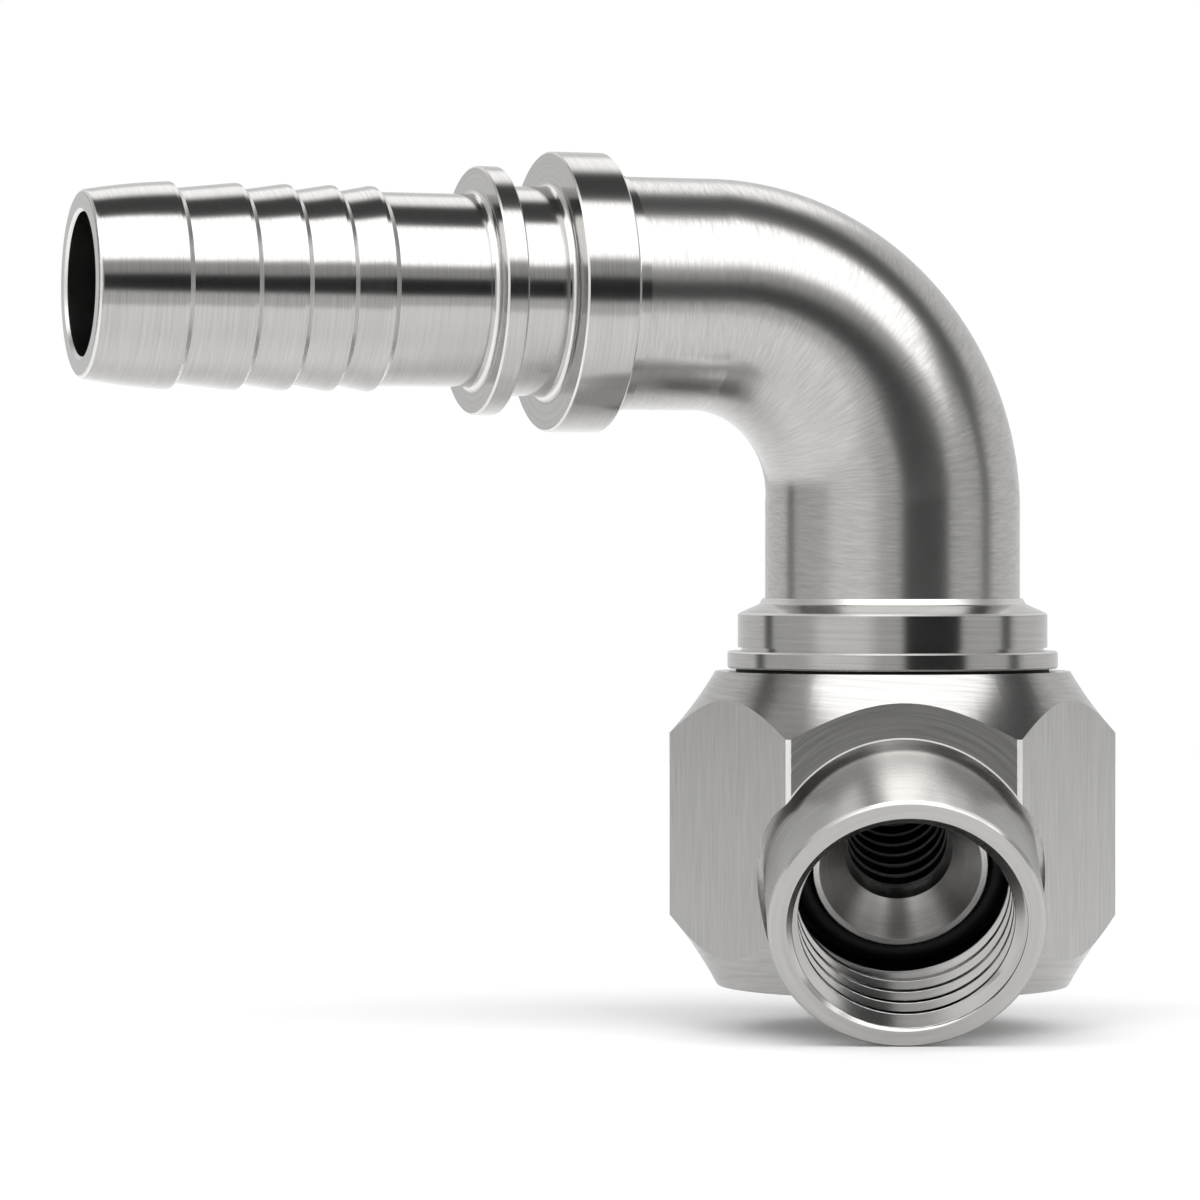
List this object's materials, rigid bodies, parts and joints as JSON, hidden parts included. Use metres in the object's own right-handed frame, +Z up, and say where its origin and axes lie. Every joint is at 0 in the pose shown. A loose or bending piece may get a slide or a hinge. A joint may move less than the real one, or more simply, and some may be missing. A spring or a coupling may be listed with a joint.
{
  "type": "crimp hose fitting",
  "caption": "Elbow hose fitting with a barbed crimp tail, a swept bend and a swivelling hex block with an inclined threaded cone-seat port.",
  "frame": {"origin": "centre of the block's bottom face, on the swivel axis", "axes": "+Z up along the swivel axis to the elbow, -X out along the hose tail at rest, port facing -Y and down"},
  "size_m": [0.0722, 0.0358, 0.0602],
  "materials": {
    "bar_steel": "brushed along the bar",
    "turned_steel": "fine turned, satin bright",
    "tube_steel": "bent and brushed, satin",
    "spring_steel": "bright drawn wire",
    "seal_rubber": "smooth black nitrile",
    "backup_plastic": "white, smooth"
  },
  "bodies": {
    "block": {"hex_block": "bar_steel", "port_sleeve": "turned_steel", "seat_insert": "turned_steel", "port_o_ring": "seal_rubber", "insert_o_ring": "seal_rubber", "dust_seal": "seal_rubber"},
    "elbow": {"hose_nipple": "turned_steel", "elbow_tube": "tube_steel", "swivel_spigot": "turned_steel", "journal_o_ring": "seal_rubber", "backup_ring": "backup_plastic", "snap_ring": "spring_steel"}
  },
  "joints": [
    {"name": "elbow_swivel", "type": "hinge", "parent": "block", "child": "elbow", "pos_m": [0, 0, 0.0217], "axis": [0, 0, 1], "continuous": true}
  ]
}
